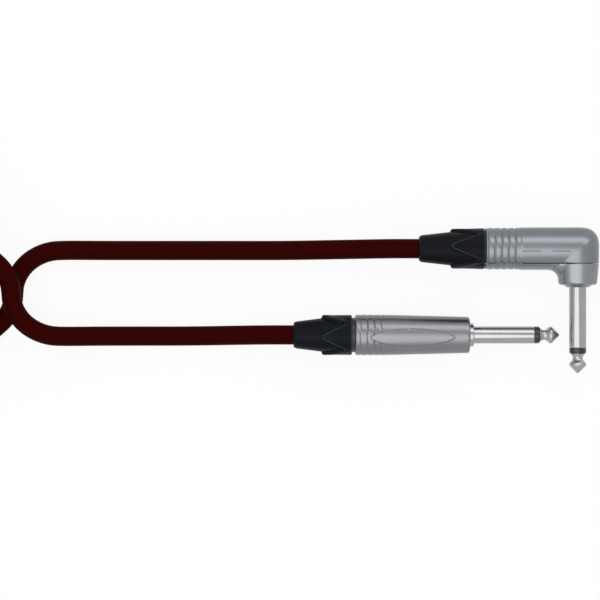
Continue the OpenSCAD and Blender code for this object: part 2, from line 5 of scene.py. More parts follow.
import bmesh
import bpy
import numpy as np
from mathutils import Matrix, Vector


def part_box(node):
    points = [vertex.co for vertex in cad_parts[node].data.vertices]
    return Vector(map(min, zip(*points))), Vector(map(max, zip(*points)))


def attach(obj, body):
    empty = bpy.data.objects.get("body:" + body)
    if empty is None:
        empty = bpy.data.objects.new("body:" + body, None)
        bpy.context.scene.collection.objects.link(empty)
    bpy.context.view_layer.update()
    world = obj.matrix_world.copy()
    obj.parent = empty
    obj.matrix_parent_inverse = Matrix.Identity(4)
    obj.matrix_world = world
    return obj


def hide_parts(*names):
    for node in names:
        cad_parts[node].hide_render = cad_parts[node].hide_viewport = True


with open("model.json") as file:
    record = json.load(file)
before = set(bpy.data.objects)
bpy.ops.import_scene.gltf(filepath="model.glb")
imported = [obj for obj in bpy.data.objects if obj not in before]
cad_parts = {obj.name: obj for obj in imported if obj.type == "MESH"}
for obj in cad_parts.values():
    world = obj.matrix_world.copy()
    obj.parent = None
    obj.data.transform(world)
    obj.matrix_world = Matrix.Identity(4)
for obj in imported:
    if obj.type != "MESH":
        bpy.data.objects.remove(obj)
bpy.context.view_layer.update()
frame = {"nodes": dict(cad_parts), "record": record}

MM = 0.001

# ---- Sizes, in millimetres ----

CORD_D = 7.2
FINGER_R = 3.175
FINGER_LEN = 31.75
TIP_LEN = 7.25
RING_W = 2.1
SLEEVE_LEN = FINGER_LEN - TIP_LEN - RING_W
SEAT = 66.6                         # the straight finger's seat, from the boot's rear
BOOT_REAR_R = 4.95
BOOT_CONE_R = 6.2
BOOT_COLLAR = 3.0
SHELL_AT = 22.8                     # the straight shell, from the boot's rear
SHELL_LEN = 42.3
SHELL_REAR_LEN = 11.0
SHELL_REAR_R = 7.5
SHELL_FRONT_R = 6.7
BARREL_R = 7.85
CORNER_R = 7.9
NECK_REACH = 14.3
PARTING = 5.5
PART_GAP = 0.09                     # from the parting plane to each half
GRIP_PITCH = 2.52                   # between the grooves at the rear of both barrels
THREAD_R = 5.58
THREAD_LEN = 4.5
CAVITY_R = 6.1
OVAL_X = -12.73                     # the raised oval's middle
OVAL_HALF_LEN = 15.6
OVAL_HALF_W = 3.3
OVAL_RISE = 0.34
OVAL_TURN = 96.8                    # where the oval lies, in degrees from +Y
HOUSING_FROM = -34.3                # the angle housing's rear, from its corner
HOUSING_REAR_LEN = 13.1             # its narrower rear, with the grooves
CAVITY_END = 3.4                    # the end of the housing's bore, from its corner
VOXEL = 0.22                        # the grid that the housing's surface is made on
LINE_TURN = 97.8                    # where the housing's fine lines run, in degrees from +Y
LINE_ENDS = [(-21.3, -14.3), (-10.2, -3.6)]
LINE_HALF = 0.9                     # half a line's width, in degrees
LINE_IN, LINE_OUT = -0.25, 0.02     # how far a line goes into the surface and stands out of it


def node_box(name):
    """A node's low and high corners in millimetres."""
    low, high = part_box(name)
    return np.array(low) / MM, np.array(high) / MM


def axis_of(name):
    """Where a plug's axis starts: a round node's rear end, and its middle in Y and Z."""
    low, high = node_box(name)
    middle = (low + high) / 2
    return low[0], middle[1], middle[2]


STRAIGHT_X, STRAIGHT_Y, STRAIGHT_Z = axis_of("straight_boot")
ANGLE_X, ANGLE_Y, ANGLE_Z = axis_of("angle_boot")
FINGER_X = float(sum(corner[0] for corner in node_box("angle_tip")) / 2)


# ---- Materials ----

class Val:
    """A number, colour or vector on a node's output, with arithmetic."""

    def __init__(self, shader, socket):
        self.shader = shader
        self.socket = socket

    def math(self, operation, *others):
        values = {0: self, **{k + 1: v for k, v in enumerate(others)}}
        return self.shader.add("ShaderNodeMath", {"operation": operation}, values)

    def __add__(self, other):
        return self.math("ADD", other)

    def __mul__(self, other):
        return self.math("MULTIPLY", other)

    def __sub__(self, other):
        return self.math("SUBTRACT", other)

    def __rsub__(self, other):
        return self.shader.add("ShaderNodeMath", {"operation": "SUBTRACT"}, {0: other, 1: self})

    __radd__ = __add__
    __rmul__ = __mul__

    def ramp(self, *stops):
        """A smooth number from this one, through (place, value) stops."""
        return self.shader.add("ShaderNodeValToRGB", {}, {0: self}, 0, stops)


class Shader:
    """One node-based material on the Principled shader."""

    def __init__(self, name, world=None, **fixed):
        self.material = world or bpy.data.materials.new(name)
        self.material.use_nodes = True
        self.tree = self.material.node_tree
        self.principled = self.tree.nodes.get("Principled BSDF")
        for name_of_input, value in fixed.items():
            self.principled.inputs[name_of_input.replace("_", " ")].default_value = value

    def join(self, value, socket):
        if isinstance(value, Val):
            self.tree.links.new(value.socket, socket)
        else:
            socket.default_value = value

    def add(self, kind, settings, values, output=0, stops=()):
        node = self.tree.nodes.new(kind)
        for key, value in settings.items():
            setattr(node, key, value)
        if stops:
            ramp = node.color_ramp
            ramp.interpolation = "EASE"
            while len(ramp.elements) < len(stops):
                ramp.elements.new(0.5)
            for element, (place, value) in zip(ramp.elements, stops):
                element.position = place
                element.color = (value, value, value, 1)
        for key, value in values.items():
            self.join(value, node.inputs[key])
        return Val(self, node.outputs[output])

    def place(self):
        """Where a point is on the object, in metres."""
        return self.add("ShaderNodeTexCoord", {}, {}, "Object")

    def noise(self, scale, detail=2.0, stretch=(1, 1, 1)):
        spread = self.add("ShaderNodeMapping", {}, {"Vector": self.place(), "Scale": stretch})
        return self.add("ShaderNodeTexNoise", {}, {"Vector": spread, "Scale": scale, "Detail": detail})

    def mix(self, factor, first, second):
        return self.add("ShaderNodeMix", {"data_type": "RGBA"}, {0: factor, 6: first, 7: second}, 2)

    def bump(self, height, strength, distance):
        normal = self.add("ShaderNodeBump", {}, {"Strength": strength, "Distance": distance, "Height": height})
        self.set("Normal", normal)

    def set(self, socket, value):
        self.join(value, self.principled.inputs[socket])


def colour(red, green, blue):
    return (red, green, blue, 1.0)


def satin_nickel(name, shade, roughness, grain_stretch, painted_highlight_from):
    """Die-cast metal under satin nickel: fine grain, faint clouding, painted shade in grooves and a painted highlight
    on edges.
    """
    s = Shader(name, Metallic=1.0)
    grain = s.noise(900, 3, grain_stretch)
    cloud = s.noise(90, 3)
    edge = s.add("ShaderNodeNewGeometry", {}, {}, "Pointiness")
    base = s.mix(cloud, colour(*[c * 0.92 for c in shade]), colour(*[c * 1.07 for c in shade]))
    # painted shade: the base colour turns nearly black in grooves and hollows (concave pointiness)
    base = s.mix(edge.ramp((0.43, 1.0), (0.49, 0.0)), base, colour(*[c * 0.15 for c in shade]))
    # painted highlight: convex edges lighten to about twice the shade
    painted_edge_highlight = colour(*[min(1, c * 2.1) for c in shade])
    base = s.mix(edge.ramp((painted_highlight_from, 0.0), (painted_highlight_from + 0.05, 0.75)), base, painted_edge_highlight)
    s.set("Base Color", base)
    s.set("Roughness", roughness + 0.1 * (grain - 0.5) + 0.06 * (cloud - 0.5))
    s.bump(grain, 0.12, 0.00003)
    return s.material


def polished_nickel(name, stretch):
    """Turned contact metal with hair-fine lathe marks."""
    s = Shader(name, Metallic=1.0)
    marks = s.noise(1500, 2, stretch)
    cloud = s.noise(120, 2)
    s.set("Base Color", s.mix(cloud, colour(0.3, 0.305, 0.315), colour(0.36, 0.365, 0.375)))
    s.set("Roughness", 0.12 + 0.08 * (marks - 0.5))
    s.bump(marks, 0.06, 0.00001)
    return s.material


def moulded_rubber(name, shade):
    """Black moulded boot: fine matt texture, with a painted bluish highlight along convex edges and pad ridges."""
    s = Shader(name, Specular_IOR_Level=0.08)
    grain = s.noise(2600, 2)
    cloud = s.noise(160, 3)
    # painted highlight: convex edges and pad ridges turn pale bluish grey
    painted_ridge_highlight = s.add("ShaderNodeNewGeometry", {}, {}, "Pointiness").ramp((0.505, 0.0), (0.54, 1.0))
    base = s.mix(cloud, colour(*[c * 0.8 for c in shade]), colour(*[c * 1.25 for c in shade]))
    s.set("Base Color", s.mix(painted_ridge_highlight * 0.8, base, colour(0.03, 0.037, 0.048)))
    s.set("Roughness", 0.4 + 0.12 * (grain - 0.5) + 0.08 * (cloud - 0.5))
    s.bump(grain, 0.25, 0.00002)
    return s.material


def cord_jacket():
    """Dark maroon extruded jacket: satin, with a faint mottling along it."""
    s = Shader("cord_jacket", Specular_IOR_Level=0.012)
    grain = s.noise(1800, 2)
    cloud = s.noise(45, 3)
    s.set("Base Color", s.mix(cloud, colour(0.023, 0.0006, 0.0004), colour(0.03, 0.001, 0.0007)))
    s.set("Roughness", 0.5 + 0.12 * (grain - 0.5) + 0.1 * (cloud - 0.5))
    s.bump(grain, 0.2, 0.00002)
    return s.material


def woven_strap():
    """Black hook-and-loop webbing."""
    s = Shader("woven_strap", Specular_IOR_Level=0.2)
    weft = s.add("ShaderNodeTexWave", {"bands_direction": "X"},
                 {"Vector": s.place(), "Scale": 420.0, "Distortion": 1.0, "Detail": 1.0})
    warp = s.add("ShaderNodeTexWave", {"bands_direction": "Y"},
                 {"Vector": s.place(), "Scale": 420.0, "Distortion": 1.0, "Detail": 1.0})
    weave = weft * warp
    s.set("Base Color", s.mix(weave, colour(0.012, 0.012, 0.013), colour(0.035, 0.035, 0.037)))
    s.set("Roughness", 0.75 + 0.2 * weave)
    s.bump(weave, 0.5, 0.0002)
    return s.material


def hard_plastic(name, shade, roughness):
    """A plain moulded or turned plastic piece with a slight mottling."""
    s = Shader(name)
    cloud = s.noise(300, 2)
    s.set("Base Color", s.mix(cloud, colour(*[c * 0.9 for c in shade]), colour(*[min(1, c * 1.1) for c in shade])))
    s.set("Roughness", roughness + 0.08 * (cloud - 0.5))
    return s.material


def bare_metal(name, shade, roughness, scale):
    """Copper strands, tinned lugs and solder."""
    s = Shader(name, Metallic=1.0)
    strands = s.noise(scale, 2, (1, 6, 6))
    s.set("Base Color", s.mix(strands, colour(*[c * 0.85 for c in shade]), colour(*shade)))
    s.set("Roughness", roughness + 0.15 * (strands - 0.5))
    s.bump(strands, 0.2, 0.00005)
    return s.material


# ---- Meshes ----

def new_piece(name, points, faces, material, sharp=35):
    """A smooth-shaded mesh object from points in millimetres, with edges kept sharp past an angle."""
    mesh = bpy.data.meshes.new(name)
    mesh.from_pydata((np.asarray(points, dtype=float) * MM).tolist(), [], [tuple(f) for f in faces])
    piece = bpy.data.objects.new(name, mesh)
    bpy.context.scene.collection.objects.link(piece)
    mesh.materials.append(material)
    finish_mesh(piece, sharp)
    return piece


def finish_mesh(piece, sharp=35):
    """Turns all faces outwards and sets the shading."""
    work = bmesh.new()
    work.from_mesh(piece.data)
    bmesh.ops.recalc_face_normals(work, faces=work.faces)
    work.to_mesh(piece.data)
    work.free()
    piece.data.polygons.foreach_set("use_smooth", [True] * len(piece.data.polygons))
    piece.data.set_sharp_from_angle(angle=math.radians(sharp))


def softened(corners, steps=5):
    """An outline with rounded corners. A corner is (u, r) or (u, r, how much its sides are cut back)."""
    made = []
    for k, corner in enumerate(corners):
        here = Vector(corner[:2])
        if len(corner) < 3 or k in (0, len(corners) - 1):
            made.append(here)
            continue
        before, after = Vector(corners[k - 1][:2]), Vector(corners[k + 1][:2])
        start = here + (before - here).normalized() * corner[2]
        end = here + (after - here).normalized() * corner[2]
        for j in range(steps + 1):
            t = j / steps
            made.append(start * (1 - t) ** 2 + here * 2 * t * (1 - t) + end * t * t)
    return [(p.x, p.y) for p in made]


def dense(outline, step, low=-1e9, high=1e9):
    """More points on the outline, so that no stretch between low and high is longer than step."""
    made = [outline[0]]
    for (u1, r1), (u2, r2) in zip(outline, outline[1:]):
        fine = min(u1, u2) >= low and max(u1, u2) <= high
        count = max(1, math.ceil(abs(u2 - u1) / step)) if fine else 1
        made += [(u1 + (u2 - u1) * k / count, r1 + (r2 - r1) * k / count) for k in range(1, count + 1)]
    return made


def turned(name, outline, place, material, around=96, shape=None, sharp=35):
    """A closed turned piece. The outline runs from the rear over the outside to the front, and back
    through any bore. shape(u, angle, r), if given, carves it."""
    outline = [p for k, p in enumerate(outline) if k == 0 or math.dist(p, outline[k - 1]) > 1e-5]
    u = np.array([p[0] for p in outline])[:, None]
    r = np.array([p[1] for p in outline])[:, None]
    angle = np.linspace(0, 2 * math.pi, around, endpoint=False)[None, :]
    radius = shape(u, angle, r) if shape else r + 0 * angle
    grid = place(u + 0 * angle, radius * np.cos(angle), radius * np.sin(angle))
    points, rings = [], []
    for row, here in zip(grid, r[:, 0]):
        row = row[:1] if here < 1e-6 else row
        rings.append(range(len(points), len(points) + len(row)))
        points.extend(row)
    hollow = len(rings[0]) > 1 and len(rings[-1]) > 1
    faces = []
    for first, second in zip(rings, [*rings[1:], rings[0]] if hollow else rings[1:]):
        for k in range(around):
            n = (k + 1) % around
            if len(first) == 1:
                faces.append((first[0], second[n], second[k]))
            elif len(second) == 1:
                faces.append((first[k], first[n], second[0]))
            else:
                faces.append((first[k], first[n], second[n], second[k]))
    return new_piece(name, points, faces, material, sharp)


def on_straight(u, across, up):
    """u along the straight plug's axis from its boot's rear, across towards +Y."""
    return np.stack([STRAIGHT_X + u, STRAIGHT_Y + across, STRAIGHT_Z + up], -1)


def on_angle(u, across, up):
    return np.stack([ANGLE_X + u, ANGLE_Y + across, ANGLE_Z + up], -1)


def on_straight_finger(u, across, up):
    """u from the finger's seat towards its point."""
    return on_straight(u + SEAT, across, up)


def on_angle_finger(u, across, up):
    return np.stack([FINGER_X + across, ANGLE_Y - NECK_REACH - u, ANGLE_Z + up], -1)


def smoothstep(value, low, high):
    t = np.clip((value - low) / (high - low), 0, 1)
    return t * t * (3 - 2 * t)


# ---- Boots ----

def wedge_field(u, s, nose_at, base_at, nose_r, base_w):
    """Distance outside a wedge with a round nose towards the cord."""
    reach = base_at - nose_at - nose_r
    lean = math.atan2(base_w, reach) - math.asin(min(1, nose_r / math.hypot(base_w, reach)))
    du, ds = u - nose_at - nose_r, np.abs(s)
    side = ds * math.cos(lean) - du * math.sin(lean) - nose_r
    nose = np.hypot(du, ds) - nose_r
    return np.where(du * math.cos(lean) + ds * math.sin(lean) < 0, nose, side)


def make_boot(name, place, length, cone_len, first_pad, pad_rear_r, pad_front_r):
    """The boot: a cone, and four grip pads that grow out of its front collar."""
    bore_r, tail_r, tail_at = 3.8, 4.75, length - 8.1
    rear_r, cone_r = BOOT_REAR_R, BOOT_CONE_R
    collar_at = length - BOOT_COLLAR
    outer = softened([(0.55, bore_r), (0, bore_r, 0.3), (0, rear_r - 0.45, 0.35), (0.9, rear_r + 0.05, 0.4),
                      (cone_len, cone_r), (length, cone_r + 0.1)])
    outline = dense(outer, 0.16, 0.8, length + 0.01)[:-1]
    outline += [(length - 0.45, cone_r), (length - 0.2, cone_r - 0.001), (length - 0.05, cone_r - 0.002),
                (length, cone_r - 0.003), (length, tail_r), (tail_at, tail_r), (tail_at, bore_r)]
    count_outer = len(outline) - 3

    def shape(u, angle, r):
        height = pad_rear_r + (pad_front_r - pad_rear_r) * np.clip((u - cone_len) / (length - cone_len), 0, 1)
        pad = 0 * u + 0 * angle
        for k in range(4):
            turn = (angle - first_pad - k * math.pi / 2 + math.pi) % (2 * math.pi) - math.pi
            gap = wedge_field(u, turn * pad_front_r, cone_len - 0.15, collar_at + 0.3, 1.7, 5.35)
            bead = 1 + 0.12 * np.exp(-((gap + 0.75) / 0.35) ** 2)
            pad = np.maximum(pad, (1 - smoothstep(gap, -0.6, 0.15)) * bead)
        collar = smoothstep(u, collar_at - 0.25, collar_at + 0.3)
        raised = np.maximum(pad, collar)
        full = r + raised * np.maximum(0, height - r)
        lip = np.clip((u - (length - 0.5)) / 0.5, 0, 1)
        full = full - 0.45 * (1 - np.sqrt(1 - lip ** 2 * 0.999))
        outside = np.arange(len(r))[:, None] < count_outer
        return np.where(outside & (u > cone_len - 1), full, r + 0 * angle)

    return turned(name, outline, place, boot_rubber, 264, shape, sharp=50)


# ---- Straight plug's shell ----

def make_straight_shell():
    """The barrel: shallow grip rings behind, and a plain raised oval along its top."""
    rear, front, length = SHELL_REAR_R, SHELL_FRONT_R, SHELL_LEN
    exit_r = 4.4
    outer = softened([(0.6, THREAD_R), (0, THREAD_R + 0.3, 0.2), (0, rear - 0.35, 0.3), (0.55, rear, 0.3),
                      (SHELL_REAR_LEN, rear - 0.03, 2.0), (length, front, 0.9), (length, exit_r + 0.15, 0.1),
                      (length - 0.15, exit_r)])
    outline = dense(outer, 0.2, 0.5, length - 0.5)
    outline += [(length - 3, exit_r), (length - 3, CAVITY_R), (THREAD_LEN, CAVITY_R), (THREAD_LEN, THREAD_R)]
    oval_at = OVAL_X - STRAIGHT_X - SHELL_AT
    oval_turn = math.radians(OVAL_TURN)

    def shape(u, angle, r):
        rings = sum(np.exp(-((u - 1.95 - GRIP_PITCH * k) / 0.23) ** 2) for k in range(4))
        s = ((angle - oval_turn + math.pi) % (2 * math.pi) - math.pi) * 7.2
        half = OVAL_HALF_W * np.clip(1 - ((u - oval_at) / OVAL_HALF_LEN) ** 2, 0, 1) ** 0.62
        inside = smoothstep(half - np.abs(s), -0.02, 0.36) * (half > 0)
        full = r - 0.19 * rings * (1 - inside) + OVAL_RISE * inside
        return np.where(r > 6.3, full, r + 0 * angle)

    return turned("straight_shell_detail", outline, lambda u, a, z: on_straight(u + SHELL_AT, a, z),
                  shell_nickel, 288, shape, sharp=40)


# ---- Fingers ----

def make_sleeve(name, place, flange_at, collar):
    """The contact tube: flange inside the shell, a collar or shoulder at the seat, then the tube."""
    flange_r, bore_r, end = 6.05, 2.2, SLEEVE_LEN
    if collar:
        seat = [(-1.5, 4.35), (-0.25, 4.35, 0.2), (0, 4.15, 0.05), (0, FINGER_R + 0.1, 0.06), (0.12, FINGER_R)]
    else:
        seat = [(-0.05, 3.5), (-0.04, FINGER_R), (0.1, FINGER_R)]
        flange_r = 5.45
    neck_r = 4.35 if collar else 3.5
    outer = softened([(flange_at, bore_r), (flange_at, flange_r, 0.2), (flange_at + 4, flange_r, 0.2),
                      (flange_at + 4, neck_r), *seat, (end - 0.3, FINGER_R, 0.1), (end, FINGER_R - 0.2),
                      (end, bore_r)])
    return turned(name, outer, place, contact_metal, 128)


def make_ring(name, place):
    """The black ring that keeps the tip apart from the sleeve."""
    start, end, r = SLEEVE_LEN, FINGER_LEN - TIP_LEN, FINGER_R - 0.04
    outer = softened([(start, 1.3), (start, r - 0.1), (start + 0.12, r), (end - 0.35, r, 0.3),
                      (end, r - 0.35, 0.05), (end, 1.3)])
    return turned(name, outer, place, ring_plastic, 128)


def make_tip(name, place, flange_at):
    """The tip on its rod: a shoulder, a waist, the ball and the point."""
    at, end, rod_from = FINGER_LEN - TIP_LEN, FINGER_LEN, flange_at - 3.25
    waist = smooth_run([(at + 0.25, 2.5, 0), (end - 6.5, 2.12, 0), (end - 5.7, 1.84, 0), (end - 5.05, 1.98, 0),
                        (end - 4.45, 2.42, 0), (end - 3.85, 2.95, 0), (end - 3.3, 3.17, 0), (end - 2.8, 3.04, 0),
                        (end - 2.35, 2.66, 0), (end - 1.35, 1.64, 0), (end - 0.5, 0.78, 0), (end - 0.15, 0.4, 0)])
    outline = softened([(rod_from, 0), (rod_from, 1.25, 0.1), (at, 1.25), (at, 2.52, 0.1), *[p[:2] for p in waist],
                        (end, 0)])
    return turned(name, outline, place, contact_metal, 128, sharp=50)


# ---- Angle plug's housing ----

def corner_norm(x, y, power=2.74):
    return (np.maximum(x, 0) ** power + np.maximum(y, 0) ** power) ** (1 / power)


def soft_max(a, b, r):
    """The larger of two fields, with the edge between them rounded."""
    return np.maximum(a, b) + np.clip(r - np.abs(a - b), 0, None) ** 2 / (4 * r)


def housing_field(p):
    """How far a point is outside the whole housing. x and y are counted from the corner."""
    x, y, z = p[:, 0], p[:, 1], p[:, 2]
    rear = HOUSING_FROM
    front = rear + HOUSING_REAR_LEN
    barrel_r = np.interp(x, [rear, front - 0.4, front, 0], [7.7, 7.7, BARREL_R, CORNER_R])
    rings = sum(np.exp(-((x - rear - 0.75 - GRIP_PITCH * k) / 0.32) ** 2) for k in range(5))
    barrel = np.hypot(y, z) - barrel_r + 0.3 * rings
    neck_r = np.interp(-y, [0, PARTING, NECK_REACH], [CORNER_R, CORNER_R - 0.1, 7.0])
    neck = np.hypot(x, z) - neck_r
    corner = np.hypot(corner_norm(x, y), z) - CORNER_R
    inward = np.clip(np.minimum(-x, -y), 1e-6, None)
    blend = 0.2 * inward + 2.2 * smoothstep(inward, 5.2, 7.8)
    joined = np.minimum(barrel, neck) - np.clip(blend - np.abs(barrel - neck), 0, None) ** 2 / (4 * blend)
    body = np.where(x < 0, np.where(y < 0, joined, barrel), np.where(y < 0, neck, corner))
    boss = -y - NECK_REACH + 0.9 * smoothstep(np.hypot(x, z), 3.7, 5.6)
    body = soft_max(body, boss, 1.1)
    body = soft_max(body, rear - x, 0.5)
    bore_r = np.where(x < rear + THREAD_LEN, THREAD_R, CAVITY_R)
    bore = np.maximum(np.hypot(y, z) - bore_r, x - CAVITY_END)
    return np.maximum(body, -bore)


def settle(points, field, rounds=8):
    """Moves points onto the surface where the field is zero."""
    for _ in range(rounds):
        value = field(points)
        slope = np.stack([(field(points + step) - field(points - step)) / 0.02
                          for step in np.eye(3) * 0.01], -1)
        size = np.maximum(0.05, (slope ** 2).sum(-1))
        points = points - np.clip(value / size, -0.6, 0.6)[:, None] * slope
    return points


def make_housing(name, side, material):
    """One of the housing's two halves. side is 1 for the barrel's and -1 for the finger's."""
    cut = -PARTING + side * PART_GAP

    def field(p):
        return soft_max(housing_field(p), side * (cut - p[:, 1]), 0.3)

    low = np.array([HOUSING_FROM - 0.6, -NECK_REACH - 0.6, -CORNER_R - 0.6])
    high = np.array([CORNER_R + 0.6, CORNER_R + 0.6, CORNER_R + 0.6])
    if side > 0:
        low[1] = cut - 0.6
    else:
        high[1] = cut + 0.6
    return surface_of(name, field, low, high, VOXEL, material)


def make_lines(name):
    """Two fine lines along the housing, with a bare gap between them: thin black strips of painted shade where
    engraved grooves run.
    """
    points, faces = [], []
    front = HOUSING_FROM + HOUSING_REAR_LEN
    for ends in LINE_ENDS:
        first = len(points)
        for x in ends:
            surface_r = BARREL_R + (CORNER_R - BARREL_R) * (x - front) / -front
            for side, lift in ((-1, LINE_IN), (1, LINE_IN), (1, LINE_OUT), (-1, LINE_OUT)):
                a = math.radians(LINE_TURN + side * LINE_HALF)
                r = surface_r + lift
                points.append((FINGER_X + x, ANGLE_Y + r * math.cos(a), ANGLE_Z + r * math.sin(a)))
        faces += [tuple(first + k for k in face) for face in
                  ((3, 2, 1, 0), (4, 5, 6, 7), (0, 1, 5, 4), (1, 2, 6, 5), (2, 3, 7, 6), (3, 0, 4, 7))]
    return new_piece(name, points, faces, groove_shade_paint)


def surface_of(name, field, low, high, step, material):
    """The surface where a field is zero: the sides of the grid cells inside, settled onto it."""
    count = np.ceil((high - low) / step).astype(int)
    axes = [low[k] + step * (np.arange(count[k]) + 0.5) for k in range(3)]
    centres = np.stack(np.meshgrid(*axes, indexing="ij"), -1)
    inside = (field(centres.reshape(-1, 3)) < 0).reshape(count)
    padded = np.pad(inside, 1)
    keys = []
    for axis in range(3):
        here = np.moveaxis(padded, axis, 0)
        change = here[1:].astype(int) - here[:-1].astype(int)
        for sign in (1, -1):
            cells = np.argwhere(change == sign)
            plane = cells[:, 0]
            other = cells[:, 1:] - 1
            quad = []
            for a, b in ((0, 0), (1, 0), (1, 1), (0, 1)):
                corner = np.zeros((len(cells), 3), int)
                rest = [k for k in range(3) if k != axis]
                corner[:, axis] = plane
                corner[:, rest[0]] = other[:, 0] + a
                corner[:, rest[1]] = other[:, 1] + b
                quad.append(corner)
            keys.append(np.stack(quad if sign > 0 else quad[::-1], 1))
    quads = np.concatenate(keys)
    size = count + 2
    flat = (quads[..., 0] * size[1] + quads[..., 1]) * size[2] + quads[..., 2]
    unique, index = np.unique(flat, return_inverse=True)
    index = index.reshape(flat.shape)
    points = np.stack([unique // (size[1] * size[2]), unique // size[2] % size[1], unique % size[2]], -1)
    points = low + step * points
    first, second = index[:, [0, 1, 2, 3]].ravel(), index[:, [1, 2, 3, 0]].ravel()
    for _ in range(6):
        total = np.zeros_like(points)
        near = np.zeros(len(points))
        for a, b in ((first, second), (second, first)):
            np.add.at(total, a, points[b])
            np.add.at(near, a, 1)
        points = settle(0.4 * points + 0.6 * total / near[:, None], field, 2)
    points = settle(points, field)
    world = points + np.array([FINGER_X, ANGLE_Y, ANGLE_Z])
    return new_piece(name, world, index.tolist(), material, sharp=55)


# ---- Tie ----

def strap_path(lift, steps=14):
    """The strap's middle line round the hank, as (y, z) from the tie's middle."""
    low, high = node_box("hank_tie")
    half_y, half_z = (high[1] - low[1]) / 2 - 0.75 + lift, (high[2] - low[2]) / 2 - 0.75 + lift
    corner = 4.6 + lift
    made = []
    for cy, cz, start in ((1, -1, -90), (1, 1, 0), (-1, 1, 90), (-1, -1, 180)):
        for k in range(steps + 1):
            a = math.radians(start + 90 * k / steps)
            made.append((cy * (half_y - corner) + corner * math.cos(a),
                         cz * (half_z - corner) + corner * math.sin(a)))
    return made


def spaced(path, step, closed):
    """The path again, with its points a step apart."""
    path = [*path, path[0]] if closed else path
    pts = np.array(path)
    along = np.concatenate([[0], np.cumsum(np.linalg.norm(np.diff(pts, axis=0), axis=1))])
    count = max(2, round(along[-1] / step))
    at = np.linspace(0, along[-1], count + 1)
    made = np.stack([np.interp(at, along, pts[:, k]) for k in range(2)], -1)
    return made[:-1] if closed else made


def strap(name, path, width, thick, closed, material, x_at, middle, weave=0.12):
    """A band along a path in the YZ plane, with rounded edges and a ribbed face."""
    ways = np.roll(path, -1, 0) - np.roll(path, 1, 0) if closed else np.gradient(path, axis=0)
    ways = ways / np.linalg.norm(ways, axis=1)[:, None]
    outward = np.stack([ways[:, 1], -ways[:, 0]], -1)
    half = width / 2
    columns = np.linspace(-half + 0.5, half - 0.5, 31)
    section = [(-half, 0.25), (-half + 0.12, 0.42), *[(c, 0.5) for c in columns], (half - 0.12, 0.42),
               (half, 0.25), (half, -0.25), (half - 0.12, -0.42), *[(c, -0.5) for c in columns[::-1]],
               (-half + 0.12, -0.42), (-half, -0.25)]
    rows = []
    for k, (p, out) in enumerate(zip(path, outward)):
        for j, (x, t) in enumerate(section):
            ribbed = weave * (0.5 if (k + j) % 2 else -0.5) if abs(t) == 0.5 else 0
            lift = t * thick + math.copysign(ribbed, t)
            rows.append((x_at + x, middle[0] + p[0] + out[0] * lift, middle[1] + p[1] + out[1] * lift))
    n = len(section)
    count = len(path)
    faces = [(i * n + j, i * n + (j + 1) % n, (i + 1) % count * n + (j + 1) % n, (i + 1) % count * n + j)
             for i in range(count if closed else count - 1) for j in range(n)]
    if not closed:
        faces += [tuple(range(n)), tuple(range((count - 1) * n, count * n))]
    return new_piece(name, rows, faces, material, sharp=60)


def make_tie():
    """The hook-and-loop tie: a woven band round the hank, its lapped end and the end's stitching."""
    low, high = node_box("hank_tie")
    x_at, middle = (low[0] + high[0]) / 2, ((low[1] + high[1]) / 2, (low[2] + high[2]) / 2)
    round_path = spaced(strap_path(0), 0.55, True)
    band = strap("tie_band", round_path, 16, 1.2, True, webbing, x_at, middle)
    lap_path = np.array([p for p in spaced(strap_path(1.25), 0.55, True) if p[1] > 0])
    lap_path = lap_path[np.argsort(lap_path[:, 0])]
    top = lap_path[(lap_path[:, 0] > -14) & (lap_path[:, 1] > lap_path[:, 1].max() - 0.01)]
    top = top[top[:, 0] < 20][::-1]
    lap = strap("tie_lap", top, 15.6, 1.0, False, webbing, x_at, middle, 0.08)
    stitches = []
    z = middle[1] + top[0][1] + 0.62
    for row in (-12.6, -10.8):
        for k in range(9):
            x = x_at - 6.4 + 1.6 * k
            stitches.append((x, middle[0] + row, z))
    thread = rounded_rods("tie_stitches", stitches, (0.95, 0.28, 0.16), tie_thread)
    return [band, lap, thread]


def rounded_rods(name, places, size, material):
    """Short threads lying along X, as one mesh of closed capsules."""
    points, faces = [], []
    length, r, rise = size
    for x, y, z in places:
        first = len(points)
        for u, scale in ((-0.5, 0.35), (-0.38, 0.85), (0, 1), (0.38, 0.85), (0.5, 0.35)):
            for k in range(8):
                a = math.tau * k / 8
                points.append((x + u * length, y + r * scale * math.cos(a), z + rise * scale * math.sin(a)))
        faces += [(first + i * 8 + k, first + i * 8 + (k + 1) % 8, first + (i + 1) * 8 + (k + 1) % 8,
                   first + (i + 1) * 8 + k) for i in range(4) for k in range(8)]
        faces += [tuple(range(first, first + 8)), tuple(range(first + 32, first + 40))]
    return new_piece(name, points, faces, material, sharp=80)


# ---- Camera, floor and light ----

PIXEL = 0.37                        # millimetres on the object
VIEW_PX = 600
ORIGIN_PX = 446.2                   # the frame's origin, from the view's left
VIEW_W = VIEW_PX * PIXEL
VIEW_X = (VIEW_PX / 2 - ORIGIN_PX) * PIXEL
VIEW_Y = 0.1
LENS = 135.0
SENSOR = 36.0


def set_camera():
    data = bpy.data.cameras.new("camera")
    data.lens = LENS
    data.sensor_width = SENSOR
    camera = bpy.data.objects.new("camera", data)
    bpy.context.scene.collection.objects.link(camera)
    away = VIEW_W * LENS / SENSOR
    camera.location = (VIEW_X * MM, VIEW_Y * MM, (away + STRAIGHT_Z) * MM)
    data.clip_end = 100
    bpy.context.scene.camera = camera


def seen_straight(s):
    """1 for the camera's rays and for those that gloss and glass send on, else 0."""
    rays = [s.add("ShaderNodeLightPath", {}, {}, f"Is {kind} Ray") for kind in ("Camera", "Glossy", "Transmission")]
    return sum(rays, 0).math("MINIMUM", 1.0)


